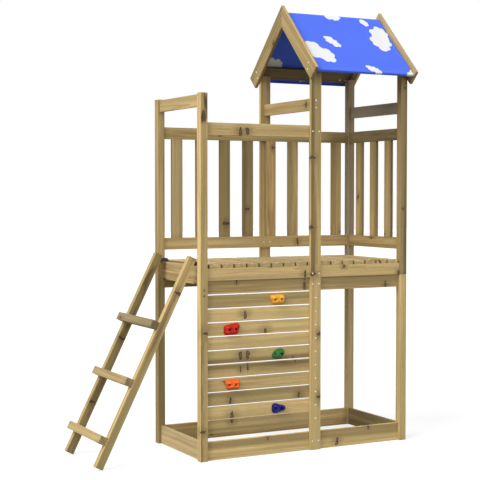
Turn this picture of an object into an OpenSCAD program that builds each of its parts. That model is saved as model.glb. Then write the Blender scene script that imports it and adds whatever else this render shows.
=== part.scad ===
// Wooden climbing frame: a raised deck on posts with a climbing wall, railings, a hook-on ladder
// and a gable roof with a fabric canopy. Millimetres, +Z up, the front towards -Y.
// The origin lies on the ground under the middle of the whole frame, ladder included.

/* [Timber] */
// Side of a square post
post_w = 36; // [32:1:48]
// Width of the common boards
board_w = 56; // [50:1:62]
// Thickness of the common boards
board_t = 15; // [12:0.5:16]
// Width of the deep boards round the sandpit and at the ends of the deck
deep_w = 85; // [70:1:100]
// Chamfer along the edges of posts and boards
chamfer = 1.5; // [0.5:0.1:3]

/* [Frame] */
// Width over the corner posts
frame_w = 1105; // [1000:1:1250]
// Depth over the corner posts
frame_d = 503; // [450:1:600]
// Distance from the left side to the middle boards
middle_x = 566; // [520:1:620]
// Gap between the rails' tops and the cross bars
head_gap = 70; // [40:1:120]
// Drop of the cross bars below the tops of the left posts
bar_drop = 4; // [0:1:20]
// Height of the roof posts' tops above those of the left posts
roof_rise = 139; // [110:1:200]

/* [Deck] */
// Height of the deck's top above the ground
deck_h = 880; // [830:1:900]
// Thickness of a deck plank
plank_t = 18; // [15:1:24]
// Number of deck planks
deck_count = 16; // [12:1:18]
// Gap between deck planks
deck_gap = 6.5; // [6.5:0.5:10]
// Width of the beams under the rims
beam_w = 60; // [50:1:66]
// How far the rims stand out in front of the beams
rim_step = 8; // [4:1:10]
// Distance of the end rims from the outer sides of the posts
end_rim_set = 26; // [20:1:32]
// Drop of the end rims below the deck's top
end_rim_drop = 8; // [4:1:14]

/* [Climbing wall] */
// Number of wall planks
wall_count = 10; // [9:1:11]
// Gap between wall planks
wall_gap = 5.25; // [3:0.25:7]
// Gap between the front sand board and the lowest wall plank
wall_foot_gap = 35; // [20:0.5:80]
// How far rails and wall planks stop short of the middle board's edge
middle_stop = 8; // [2:1:16]

/* [Railing] */
// Height of the rails' top above the deck
guard_h = 631; // [560:1:660]
// Gap between the deck and the bottom rails
low_gap = 48; // [30:1:70]
// Number of slats in the back railing
back_slat_count = 8; // [5:1:10]
// Gap between the posts and the outer slats of the back railing
back_slat_set = 40.5; // [30:0.5:80]
// Number of slats in the right railing
side_slat_count = 3; // [2:1:4]
// Gap between the posts and the outer slats of the right railing
side_slat_set = 59.5; // [30:0.5:80]

/* [Roof] */
// Slope of the roof in degrees
roof_pitch = 45; // [40:1:48]
// Width of a rafter
rafter_w = 74; // [70:1:90]
// How far the rafters reach past the posts in front and behind
eave_reach = 70; // [60:1:100]
// Depth of the canopy below the rafters' upper edges
canopy_inset = 20; // [12:1:22]
// Thickness of the canopy
canopy_t = 2; // [1:0.5:3]
// Gap between the canopy's sides and the rafters
canopy_gap = 2; // [1:0.5:6]
// Distance of the canopy's lower edges from the rafters' ends
canopy_set = 2; // [1:1:8]
// Width of an eave board
eave_w = 70; // [60:1:76]
// Distance of the eave boards' lower edges from the rafters' ends
eave_set = 30; // [22:1:38]
// Space between the posts' tops and the eave boards
post_clear = 7; // [3:1:8]

/* [Ladder] */
// Lean of the ladder from the vertical in degrees
ladder_lean = 26.5; // [20:0.5:32]
// Height of the ladder's rear top corner above the deck
ladder_rise = 22; // [16:1:40]
// How far the rear top corner reaches past the posts' left sides
ladder_reach = 6; // [2:1:12]
// Width of a ladder rail, seen from the side
ladder_rail_w = 38; // [32:1:48]
// Thickness of a ladder rail
ladder_rail_t = 28; // [24:1:36]
// Distance of the ladder rails from the front and back of the frame
ladder_set = 52; // [48:1:90]
// Side of a square ladder tread
tread_w = 36; // [30:1:44]
// Number of treads
tread_count = 3; // [2:1:3]
// Height of the lowest tread along the rails
tread_first = 99; // [70:1:140]
// Distance of the highest tread from the rails' tops
tread_last = 361.5; // [300:0.5:400]

/* [Ladder hooks] */
// Thickness of a hook plate
hook_t = 5; // [3:0.5:6]
// Height of a hook's arm
hook_arm_h = 18; // [14:1:24]
// Radius of a hook's nose
hook_nose_r = 12; // [6:1:14]
// Depth of a hook's tooth behind the end rim
hook_tooth_h = 20; // [10:1:30]
// Thickness of a hook's tooth
hook_tooth_t = 4.5; // [3:0.5:4.5]
// Width of a hook's leg on the rail
hook_leg_w = 20; // [16:1:28]
// Length of a hook's leg below the arm
hook_leg_l = 60; // [45:1:90]

/* [Climbing holds] */
// Width of the widest hold
hold_w = 78; // [70:1:90]
// Height of the tallest hold
hold_h = 53; // [44:1:56]
// How far a hold stands out from the wall
hold_d = 30; // [22:1:40]
// Distance of the left column of holds from the frame's left side
hold_left_x = 157; // [110:1:200]
// Distance of the right column of holds from the frame's left side
hold_right_x = 392; // [330:1:430]
// Half the distance between a hold's two screws
hold_screw_off = 16; // [13:1:17]
// Height of the screw seats in a hold above the wall
hold_seat_h = 9; // [6:1:14]
// Width of the screw wells in a hold
hold_well_d = 12; // [10:1:14]

/* [Screws] */
// Width of a screw head
screw_head_d = 7; // [6:0.5:9]
// Height of a screw head
screw_head_h = 1.6; // [1:0.1:2.5]
// Width of a screw shank
screw_d = 4; // [3:0.5:5]
// Half the distance between two screws side by side
screw_pair_off = 17; // [10:1:20]
// Distance of the joint's screws from the lower middle board's top
joint_screw_set = 9; // [6:1:16]
// Distance of the roof posts' screws below their tops
roof_screw_set = 12; // [8:1:16]
// Distance of the eave boards' outer screws from the boards' ends
eave_screw_set = 27; // [20:1:40]
// Distance of the eave boards' screws from the boards' lower edges
eave_screw_rise = 18; // [12:1:30]

/* [Hidden] */
$fn = 32;
// Clearance between parts that only rest near each other
fit = 0.3;
// Overrun of a cut past the surface that it opens
overrun = 1;

pine = "#b39a66";
pine_light = "#c4ab78";
steel = "#b9bcc0";
black_steel = "#2b2723";
sky_blue = "#4a72f5";

// Heights of the deck's parts
rim_top = deck_h - plank_t;
rim_z = rim_top - board_w;
beam_z = rim_z - beam_w;
joint_z = rim_z + board_w / 2;
end_rim_top = deck_h - end_rim_drop;
end_rim_z = end_rim_top - deep_w;

// Heights of the rails and bars
rail_top_z = deck_h + guard_h - board_w;
rail_low_z = deck_h + low_gap;
slat_z = rail_low_z + board_w;
slat_l = rail_top_z - slat_z;
bar_z = deck_h + guard_h + head_gap;
arch_h = bar_z + board_w + bar_drop;
roof_post_h = arch_h + roof_rise;

// Planes seen from above
right_post_x = frame_w - post_w;
back_post_y = frame_d - post_w;
back_face_y = frame_d - board_t;
back_board_y = frame_d - board_t * 2;
rim_y = board_t - rim_step;
back_rim_y = frame_d - rim_y - board_t;
right_board_x = frame_w - board_t * 2;
middle_end_x = middle_x + board_w;
middle_mid_x = middle_x + board_w / 2;
bay_w = right_post_x - post_w;
bay_d = back_post_y - post_w;
back_slat_pitch = (bay_w - back_slat_set * 2 - board_w) / (back_slat_count - 1);
side_slat_pitch = (bay_d - side_slat_set * 2 - board_w) / (side_slat_count - 1);

// Deck planks fill the space between the end rims
deck_x = end_rim_set + board_t + deck_gap;
deck_w = frame_w - deck_x * 2;
deck_pitch = (deck_w + deck_gap) / deck_count;
deck_plank_w = deck_pitch - deck_gap;
deck_screw_y = board_t + screw_head_d / 2 + fit;

// Wall planks fill the space between the front beam and the sand board
wall_pitch = (beam_z - deep_w - wall_foot_gap) / wall_count;
wall_plank_w = wall_pitch - wall_gap;
function wall_plank_z(i) = beam_z - wall_pitch * i;

// Roof: s runs down a slope from the ridge and p runs into the roof from the rafters' upper edges
canopy_seat = canopy_inset + canopy_t + fit;
post_p = canopy_seat + board_t + post_clear;
ridge_h = roof_post_h + (post_p + frame_d / 2 * sin(roof_pitch)) / cos(roof_pitch);
rafter_l = (frame_d / 2 + eave_reach) / cos(roof_pitch);
eave_s = rafter_l - eave_set - eave_w;
canopy_l = rafter_l - canopy_set;
ridge_top = ridge_h - (canopy_seat + board_t / 2 * sin(roof_pitch)) / cos(roof_pitch);
function slope_y(s, p) = s * cos(roof_pitch) - p * sin(roof_pitch);
function slope_z(s, p) = ridge_h - s * sin(roof_pitch) - p * cos(roof_pitch);
function slope_point(s, p) = [slope_y(s, p), slope_z(s, p)];
function ridge_point(p) = slope_point(p * tan(roof_pitch), p);

// Ladder: its rails lean about the rear corner of their feet
ladder_h = deck_h + ladder_rise;
ladder_rail_l = ladder_h / cos(ladder_lean);
tread_pitch = (ladder_rail_l - tread_first - tread_last) / (tread_count - 1);
foot_x = ladder_reach - ladder_h * tan(ladder_lean);
ladder_back_y = frame_d - ladder_set - ladder_rail_t;
ladder_w = frame_d - ladder_set * 2;
hook_end_x = end_rim_set + board_t + (deck_gap + hook_tooth_t) / 2;
hook_z = end_rim_top + fit;
hook_leg_top = (hook_z + hook_arm_h - fit) / cos(ladder_lean);
hook_leg_z = hook_leg_top - hook_arm_h - hook_leg_l;

// Holds: the plank that each hangs on and its column
hold_planks = [1, 3, 5, 7, 9];
hold_columns = [hold_right_x, hold_left_x, hold_right_x, hold_left_x, hold_right_x];
// Width and height of each hold, and how far its middle lies right of its screws', of hold_w, hold_h, hold_w
hold_size_shares = [
    [0.96, 0.83, 0.04], [1.00, 1.00, 0.05], [0.78, 0.90, 0.10], [0.96, 0.82, 0.08], [0.87, 0.84, 0.13]];
// Each lump: centre across and up, then radius across and up, of half the hold's width and height
hold_lump_shares = [
    [[-0.56, 0.42, 0.44, 0.56], [0.60, 0.48, 0.40, 0.52], [0.40, -0.45, 0.50, 0.55],
     [-0.32, -0.45, 0.46, 0.55]],
    [[-0.60, 0.28, 0.40, 0.46], [0.60, 0.54, 0.40, 0.46], [0.36, -0.46, 0.46, 0.52],
     [-0.58, -0.54, 0.42, 0.46]],
    [[-0.46, -0.28, 0.54, 0.68], [0.48, 0.34, 0.52, 0.66], [0.12, -0.38, 0.56, 0.62]],
    [[-0.60, 0.50, 0.40, 0.50], [0.62, 0.50, 0.38, 0.50], [0.56, -0.50, 0.42, 0.50],
     [-0.14, -0.50, 0.46, 0.50]],
    [[-0.54, 0.42, 0.46, 0.58], [-0.50, -0.42, 0.50, 0.58], [0.60, -0.12, 0.40, 0.54]]
];
hold_colours = ["#f2b61f", "#d8341f", "#1f9a4c", "#e8641b", "#1f3fa8"];

// Middle of the whole frame across its width, from the ladder's feet to the right gable's screws
frame_mid_x = (foot_x - ladder_rail_w * cos(ladder_lean) + frame_w + board_t + screw_head_h) / 2;

// Moves a shape from the corner of the frame to the frame's own origin
module in_frame() {
    translate([-frame_mid_x, -frame_d / 2, 0]) children();
}

// Mirrors a shape from the front half of the frame to the back half
module at_back() {
    translate([0, frame_d, 0]) mirror([0, 1, 0]) children();
}

// Rectangle with chamfered corners
module section(a, b) {
    polygon([[chamfer, 0], [a - chamfer, 0], [a, chamfer], [a, b - chamfer],
             [a - chamfer, b], [chamfer, b], [0, b - chamfer], [0, chamfer]]);
}

// Lengths of timber along each axis, given by their lowest corner and their size
module along_x(corner, size) {
    translate(corner) rotate([90, 0, 90]) linear_extrude(size[0]) section(size[1], size[2]);
}

module along_y(corner, size) {
    translate([corner[0], corner[1] + size[1], corner[2]])
        rotate([90, 0, 0]) linear_extrude(size[1]) section(size[0], size[2]);
}

module along_z(corner, size) {
    translate(corner) linear_extrude(size[2]) section(size[0], size[1]);
}

// Outline in the roof's cross-section, from y behind the ridge, carried along the frame's width
module roof_prism(x, length, outline) {
    translate([x, frame_d / 2, 0]) rotate([90, 0, 90]) linear_extrude(length) polygon(outline);
}

// Screw with its head's underside on z = 0, and the hole that takes it
module screw(grip) {
    cylinder(h = screw_head_h, r1 = screw_head_d / 2, r2 = screw_d / 2);
    translate([0, 0, fit - grip]) cylinder(h = grip, r = screw_d / 2);
}

module screw_hole(grip) {
    translate([0, 0, -grip - overrun]) cylinder(h = grip + overrun * 2, r = screw_d / 2 + fit);
}

// Places on the faces that screws enter: each turns +Z out of the face
module on_front(x, y, z) {
    translate([x, y, z]) rotate([90, 0, 0]) children();
}

module on_left(x, y, z) {
    translate([x, y, z]) rotate([0, -90, 0]) children();
}

module on_right(x, y, z) {
    translate([x, y, z]) rotate([0, 90, 0]) children();
}

// Screws of the middle boards as [x, z]
function screw_pair(z) = [[middle_mid_x - screw_pair_off, z], [middle_mid_x + screw_pair_off, z]];
carcase_screws = concat(screw_pair(joint_z - joint_screw_set), screw_pair(beam_z + beam_w / 2));
sand_screws = screw_pair(deep_w / 2);
wall_screws = [for (i = [1 : wall_count]) [middle_mid_x, wall_plank_z(i) + wall_plank_w / 2]];
bar_screws = [for (side = [-1, 1]) [middle_mid_x, bar_z + board_w / 2 + side * screw_pair_off]];
guard_screws = screw_pair(rail_top_z + board_w / 2);
low_rail_screws = screw_pair(rail_low_z + board_w / 2);
// Thickness of a middle board at a height: thinner where it laps over the rim
function middle_grip(z) = z > rim_z && z < deck_h ? rim_y : board_t;

// Screws of a rafter as [y, z]: one into the post and one into the eave board
rafter_screws = [
    [board_t / 2, roof_post_h - roof_screw_set],
    [frame_d / 2 - slope_y(eave_s + eave_w / 2, canopy_seat + board_t / 2),
     slope_z(eave_s + eave_w / 2, canopy_seat + board_t / 2)]
];

// Screws of an eave board across the frame: a pair at each end, on the face under the roof
eave_screw_sets = [eave_screw_set, eave_screw_set + screw_pair_off * 2];
eave_screws = [for (set = eave_screw_sets, x = [middle_x + set, frame_w - set]) x];
eave_screw_s = eave_s + eave_w - eave_screw_rise;

module under_slope(x, s, p) {
    translate([x, frame_d / 2 + slope_y(s, p), slope_z(s, p)]) rotate([180 - roof_pitch, 0, 0]) children();
}

// Posts
module corner_post(x, y, z, length) {
    color(pine) in_frame() along_z([x, y, z], [post_w, post_w, length]);
}

module front_left_post() {
    corner_post(0, 0, 0, arch_h);
}

module back_left_post() {
    corner_post(0, back_post_y, 0, arch_h);
}

module front_right_lower_post() {
    corner_post(right_post_x, 0, 0, rim_z);
}

module back_right_lower_post() {
    corner_post(right_post_x, back_post_y, 0, rim_z);
}

module front_right_upper_post() {
    corner_post(right_post_x, 0, rim_z, roof_post_h - rim_z);
}

module back_right_upper_post() {
    corner_post(right_post_x, back_post_y, rim_z, roof_post_h - rim_z);
}

// Middle boards: flush with the posts, lapped over the rim and the deck planks' ends
module middle_board(z, length, screws) {
    difference() {
        along_z([middle_x, 0, z], [board_w, board_t, length]);
        translate([middle_x - overrun, rim_y, rim_z])
            cube([board_w + overrun * 2, board_t, deck_h - rim_z]);
        for (s = screws) on_front(s[0], 0, s[1]) screw_hole(board_t);
    }
}

module front_middle_lower_board() {
    color(pine) in_frame()
        middle_board(0, joint_z, concat(carcase_screws, wall_screws, sand_screws));
}

module front_middle_upper_board() {
    color(pine) in_frame()
        middle_board(joint_z, roof_post_h - joint_z, concat(guard_screws, bar_screws));
}

module back_middle_board() {
    color(pine) in_frame() at_back()
        middle_board(beam_z, roof_post_h - beam_z, concat(carcase_screws, bar_screws));
}

// Sandpit
module front_sand_board() {
    color(pine) in_frame() along_x([post_w, board_t, 0], [bay_w, board_t, deep_w]);
}

module back_sand_board() {
    color(pine) in_frame() along_x([post_w, back_board_y, 0], [bay_w, board_t, deep_w]);
}

module left_sand_board() {
    color(pine) in_frame() along_y([board_t, post_w, 0], [board_t, bay_d, deep_w]);
}

module right_sand_board() {
    color(pine) in_frame() along_y([right_board_x, post_w, 0], [board_t, bay_d, deep_w]);
}

// Deck
module front_beam() {
    color(pine) in_frame() along_x([post_w, board_t, beam_z], [bay_w, board_t, beam_w]);
}

module back_beam() {
    color(pine) in_frame() along_x([post_w, back_board_y, beam_z], [bay_w, board_t, beam_w]);
}

module front_rim() {
    color(pine) in_frame() along_x([post_w, rim_y, rim_z], [bay_w, board_t, board_w]);
}

module back_rim() {
    color(pine) in_frame() along_x([post_w, back_rim_y, rim_z], [bay_w, board_t, board_w]);
}

module left_rim() {
    color(pine) in_frame() along_y([end_rim_set, post_w, end_rim_z], [board_t, bay_d, deep_w]);
}

module right_rim() {
    color(pine) in_frame()
        along_y([frame_w - end_rim_set - board_t, post_w, end_rim_z], [board_t, bay_d, deep_w]);
}

module deck_planks() {
    color(pine_light) in_frame() for (i = [0 : deck_count - 1]) difference() {
        along_y([deck_x + deck_pitch * i, rim_y, rim_top],
                [deck_plank_w, frame_d - rim_y * 2, plank_t]);
        for (y = [deck_screw_y, frame_d - deck_screw_y])
            translate([deck_x + deck_pitch * i + deck_plank_w / 2, y, deck_h]) screw_hole(plank_t);
    }
}

// Climbing wall
module wall_plank(i) {
    color(pine) in_frame()
        along_x([post_w, board_t, wall_plank_z(i)],
                [middle_end_x - middle_stop - post_w, board_t, wall_plank_w]);
}

// Railings
module front_guard_rail() {
    color(pine) in_frame()
        along_x([post_w, board_t, rail_top_z],
                [middle_end_x - middle_stop - post_w, board_t, board_w]);
}

module back_rail(z, screws) {
    difference() {
        along_x([post_w, back_board_y, z], [bay_w, board_t, board_w]);
        for (s = screws) on_front(s[0], back_board_y, s[1]) screw_hole(board_t);
    }
}

module back_top_rail() {
    color(pine) in_frame() back_rail(rail_top_z, guard_screws);
}

module back_bottom_rail() {
    color(pine) in_frame() back_rail(rail_low_z, low_rail_screws);
}

module right_top_rail() {
    color(pine) in_frame() along_y([right_board_x, post_w, rail_top_z], [board_t, bay_d, board_w]);
}

module right_bottom_rail() {
    color(pine) in_frame() along_y([right_board_x, post_w, rail_low_z], [board_t, bay_d, board_w]);
}

module back_slats() {
    first_x = post_w + back_slat_set;
    color(pine) in_frame() for (i = [0 : back_slat_count - 1])
        along_z([first_x + back_slat_pitch * i, back_board_y, slat_z], [board_w, board_t, slat_l]);
}

module right_slats() {
    first_y = post_w + side_slat_set;
    color(pine) in_frame() for (i = [0 : side_slat_count - 1])
        along_z([right_board_x, first_y + side_slat_pitch * i, slat_z], [board_t, board_w, slat_l]);
}

// Cross bars
module entrance_bar() {
    color(pine) in_frame() along_y([(post_w - board_t) / 2, post_w, bar_z], [board_t, bay_d, board_w]);
}

module roof_left_bar() {
    color(pine) in_frame()
        along_y([middle_mid_x - board_t / 2, board_t, bar_z],
                [board_t, back_face_y - board_t, board_w]);
}

module roof_right_bar() {
    color(pine) in_frame()
        along_y([right_post_x + (post_w - board_t) / 2, post_w, bar_z], [board_t, bay_d, board_w]);
}

// Roof
module rafter(x) {
    at_back() roof_prism(x, board_t, [
        [0, ridge_h], slope_point(rafter_l, 0), slope_point(rafter_l, rafter_w), ridge_point(rafter_w)]);
}

module left_rafter() {
    difference() {
        rafter(middle_x - board_t);
        for (s = rafter_screws) on_left(middle_x - board_t, s[0], s[1]) screw_hole(board_t);
    }
}

module right_rafter() {
    difference() {
        rafter(frame_w);
        for (s = rafter_screws) on_right(frame_w + board_t, s[0], s[1]) screw_hole(board_t);
    }
}

module left_front_rafter() {
    color(pine) in_frame() left_rafter();
}

module left_back_rafter() {
    color(pine) in_frame() at_back() left_rafter();
}

module right_front_rafter() {
    color(pine) in_frame() right_rafter();
}

module right_back_rafter() {
    color(pine) in_frame() at_back() right_rafter();
}

module ridge_board() {
    color(pine) in_frame() translate([middle_x, (frame_d - board_t) / 2, ridge_top - board_w])
        cube([frame_w - middle_x, board_t, board_w]);
}

module eave_board() {
    difference() {
        roof_prism(middle_x, frame_w - middle_x, [
            slope_point(eave_s, canopy_seat), slope_point(eave_s + eave_w, canopy_seat),
            slope_point(eave_s + eave_w, canopy_seat + board_t),
            slope_point(eave_s, canopy_seat + board_t)]);
        for (x = eave_screws) under_slope(x, eave_screw_s, canopy_seat + board_t) screw_hole(board_t);
    }
}

module front_eave_board() {
    color(pine) in_frame() at_back() eave_board();
}

module back_eave_board() {
    color(pine) in_frame() eave_board();
}

module canopy() {
    outer = canopy_inset;
    inner = canopy_inset + canopy_t;
    slope = [slope_point(canopy_l, outer), slope_point(canopy_l, inner)];
    color(sky_blue) in_frame()
        roof_prism(middle_x + canopy_gap, frame_w - middle_x - canopy_gap * 2, [
            ridge_point(outer), slope[0], slope[1], ridge_point(inner),
            [-slope[1][0], slope[1][1]], [-slope[0][0], slope[0][1]]]);
}

// Ladder: x = 0 is the rear face of its rails and z runs up along them
module leaning() {
    translate([foot_x, 0, 0]) rotate([0, ladder_lean, 0]) children();
}

module ladder_rail(y) {
    color(pine) in_frame() leaning()
        along_z([-ladder_rail_w, y, 0], [ladder_rail_w, ladder_rail_t, ladder_rail_l]);
}

module ladder_front_rail() {
    ladder_rail(ladder_set);
}

module ladder_back_rail() {
    ladder_rail(ladder_back_y);
}

tread_screws = [for (i = [0 : tread_count - 1], y = [ladder_set, ladder_back_y])
    [y + ladder_rail_t / 2, tread_first + tread_pitch * i + tread_w / 2]];

module ladder_treads() {
    outer_x = -ladder_rail_w - tread_w;
    color(pine_light) in_frame() leaning() difference() {
        for (i = [0 : tread_count - 1])
            along_y([outer_x, ladder_set, tread_first + tread_pitch * i], [tread_w, ladder_w, tread_w]);
        for (s = tread_screws) on_left(outer_x, s[0], s[1]) screw_hole(tread_w);
    }
}

// Hook plate lying in the plane y = 0: a leg on the rail, an arm over the end rim and a tooth behind it
hook_screw_heights = [for (side = [-1, 1]) hook_leg_z + hook_leg_l / 2 + side * hook_leg_l / 4];

module hook_plate() {
    nose_x = hook_end_x - hook_nose_r;
    rotate([90, 0, 0]) linear_extrude(hook_t) {
        translate([foot_x, 0]) rotate(-ladder_lean)
            translate([-hook_leg_w, hook_leg_z]) square([hook_leg_w, hook_leg_l + hook_arm_h]);
        translate([0, hook_z]) square([nose_x, hook_arm_h]);
        translate([0, hook_z]) square([hook_end_x, hook_arm_h - hook_nose_r]);
        intersection() {
            translate([nose_x, hook_z + hook_arm_h - hook_nose_r]) circle(hook_nose_r);
            translate([nose_x, hook_z]) square([hook_nose_r, hook_arm_h]);
        }
        translate([hook_end_x - hook_tooth_t, hook_z - hook_tooth_h])
            square([hook_tooth_t, hook_tooth_h + hook_arm_h - hook_nose_r]);
        polygon([[0, hook_z], [0, hook_z + hook_arm_h],
                 [-hook_leg_w / 2, hook_z + hook_arm_h], [-hook_leg_w, hook_z]]);
    }
}

// Outer faces of the two hook plates, each on its rail's side away from the front
hook_faces = [for (y = [ladder_set, ladder_back_y]) y + ladder_rail_t + hook_t];

module hook_fasteners(y) {
    for (z = hook_screw_heights) leaning()
        translate([-hook_leg_w / 2, y, z]) rotate([-90, 0, 0]) children();
}

module ladder_hooks() {
    color(black_steel) in_frame() for (y = hook_faces) difference() {
        translate([0, y, 0]) hook_plate();
        hook_fasteners(y) screw_hole(hook_t);
    }
}

module ladder_screws() {
    color(steel) in_frame() {
        for (s = tread_screws) leaning() on_left(-ladder_rail_w - tread_w, s[0], s[1]) screw(tread_w);
        for (y = hook_faces) hook_fasteners(y) screw(hook_t);
    }
}

// Climbing holds: lumps blended over the wall plank, with two wells for screws
module on_hold(k) {
    on_front(hold_columns[k], board_t, wall_plank_z(hold_planks[k]) + wall_plank_w / 2) children();
}

module hold(k) {
    w = hold_w * hold_size_shares[k][0];
    h = hold_h * hold_size_shares[k][1];
    color(hold_colours[k]) in_frame() on_hold(k) difference() {
        translate([hold_size_shares[k][2] * hold_w, 0, 0]) hull() for (lump = hold_lump_shares[k])
            translate([lump[0] * w / 2, lump[1] * h / 2, 0]) intersection() {
                resize([lump[2] * w, lump[3] * h, hold_d * 2]) sphere(hold_d);
                translate([-w, -w, 0]) cube([w * 2, w * 2, hold_d]);
            }
        for (side = [-1, 1]) translate([side * hold_screw_off, 0, hold_seat_h]) {
            cylinder(h = hold_d, r = hold_well_d / 2);
            screw_hole(hold_seat_h);
        }
    }
}

module hold_screws() {
    for (k = [0 : len(hold_planks) - 1], side = [-1, 1])
        on_hold(k) translate([side * hold_screw_off, 0, hold_seat_h]) screw(hold_seat_h);
}

module roof_screws() {
    for (s = rafter_screws) {
        on_left(middle_x - board_t, s[0], s[1]) screw(board_t);
        on_right(frame_w + board_t, s[0], s[1]) screw(board_t);
    }
    at_back() for (x = eave_screws) under_slope(x, eave_screw_s, canopy_seat + board_t) screw(board_t);
}

module frame_screws() {
    color(steel) in_frame() {
        for (s = concat(carcase_screws, wall_screws, sand_screws, guard_screws, bar_screws))
            on_front(s[0], 0, s[1]) screw(middle_grip(s[1]));
        at_back() for (s = concat(carcase_screws, bar_screws))
            on_front(s[0], 0, s[1]) screw(middle_grip(s[1]));
        for (s = concat(guard_screws, low_rail_screws)) on_front(s[0], back_board_y, s[1]) screw(board_t);
        roof_screws();
        at_back() roof_screws();
        for (i = [0 : deck_count - 1], y = [deck_screw_y, frame_d - deck_screw_y])
            translate([deck_x + deck_pitch * i + deck_plank_w / 2, y, deck_h]) screw(plank_t);
        hold_screws();
    }
}

front_left_post();
back_left_post();
front_right_lower_post();
back_right_lower_post();
front_right_upper_post();
back_right_upper_post();
front_middle_lower_board();
front_middle_upper_board();
back_middle_board();
front_sand_board();
back_sand_board();
left_sand_board();
right_sand_board();
front_beam();
back_beam();
front_rim();
back_rim();
left_rim();
right_rim();
deck_planks();
for (i = [1 : wall_count]) wall_plank(i);
front_guard_rail();
back_top_rail();
back_bottom_rail();
right_top_rail();
right_bottom_rail();
back_slats();
right_slats();
entrance_bar();
roof_left_bar();
roof_right_bar();
left_front_rafter();
left_back_rafter();
right_front_rafter();
right_back_rafter();
ridge_board();
front_eave_board();
back_eave_board();
canopy();
ladder_front_rail();
ladder_back_rail();
ladder_treads();
ladder_hooks();
hold(0);  // yellow_hold
hold(1);  // red_hold
hold(2);  // green_hold
hold(3);  // orange_hold
hold(4);  // blue_hold
frame_screws();
ladder_screws();
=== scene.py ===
import math
import bpy
import numpy as np
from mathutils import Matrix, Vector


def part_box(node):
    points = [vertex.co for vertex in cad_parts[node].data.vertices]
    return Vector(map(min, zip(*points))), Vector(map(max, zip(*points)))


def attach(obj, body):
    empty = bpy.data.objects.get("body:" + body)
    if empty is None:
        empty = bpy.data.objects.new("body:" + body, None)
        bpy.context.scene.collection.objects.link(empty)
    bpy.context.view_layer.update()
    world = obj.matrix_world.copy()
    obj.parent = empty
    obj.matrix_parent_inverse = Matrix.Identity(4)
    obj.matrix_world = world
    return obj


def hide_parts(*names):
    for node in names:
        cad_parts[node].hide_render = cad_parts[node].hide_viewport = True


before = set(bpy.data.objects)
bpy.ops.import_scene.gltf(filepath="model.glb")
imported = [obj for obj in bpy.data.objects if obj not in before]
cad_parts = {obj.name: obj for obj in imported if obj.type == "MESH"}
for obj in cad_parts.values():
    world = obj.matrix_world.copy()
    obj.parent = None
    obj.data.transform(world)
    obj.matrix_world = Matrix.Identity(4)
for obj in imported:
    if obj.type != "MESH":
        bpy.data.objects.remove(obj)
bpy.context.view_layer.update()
scene = bpy.context.scene
dice = np.random.default_rng(11)
print("frame loaded:", len(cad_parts), "nodes")

photoView = {
    "place": (-2.6456, -5.0963, 1.1915),
    "turn": 0.4797,  # radians from +Y towards +X
    "dip": 0.0374,  # radians below the horizon
    "lens": 91.31,  # millimetres, as the sensor's width
    "sensor": 36.0,
}


def placeCamera(view):
    data = bpy.data.cameras.new("photo_camera")
    data.lens = view["lens"]
    data.sensor_fit = "HORIZONTAL"
    data.sensor_width = view["sensor"]
    camera = bpy.data.objects.new("photo_camera", data)
    camera.location = view["place"]
    camera.rotation_euler = (math.pi / 2 - view["dip"], 0, -view["turn"])
    scene.collection.objects.link(camera)
    scene.camera = camera


placeCamera(photoView)
print("camera placed")


class Field:  # one output of a material's nodes, used in plain sums
    def __init__(self, finish, socket):
        self.finish, self.socket = finish, socket

    def output(self, name):
        return Field(self.finish, self.socket.node.outputs[name])

    def apply(self, operation, *others):  # a Math node that has this as its first value
        return self.finish.node("Math", {"operation": operation}, dict(enumerate((self, *others))))

    def __add__(self, other):
        return self.apply("ADD", other)

    def __sub__(self, other):
        return self.apply("SUBTRACT", other)

    def __rsub__(self, other):
        return self.finish.node("Math", {"operation": "SUBTRACT"}, {0: other, 1: self})

    def __mul__(self, other):
        return self.apply("MULTIPLY", other)

    def __truediv__(self, other):
        return self.apply("DIVIDE", other)

    def __pow__(self, other):
        return self.apply("POWER", other)

    def __abs__(self):
        return self.apply("ABSOLUTE")

    __radd__, __rmul__ = __add__, __mul__

    def length(self, other, share):  # of a flat offset, this side of it shortened to a share
        return ((self * share) ** 2.0 + other ** 2.0) ** 0.5

    def waver(self, share):  # noise made to rise and fall about 1 by half a share
        return self * share + (1 - share / 2)


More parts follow.
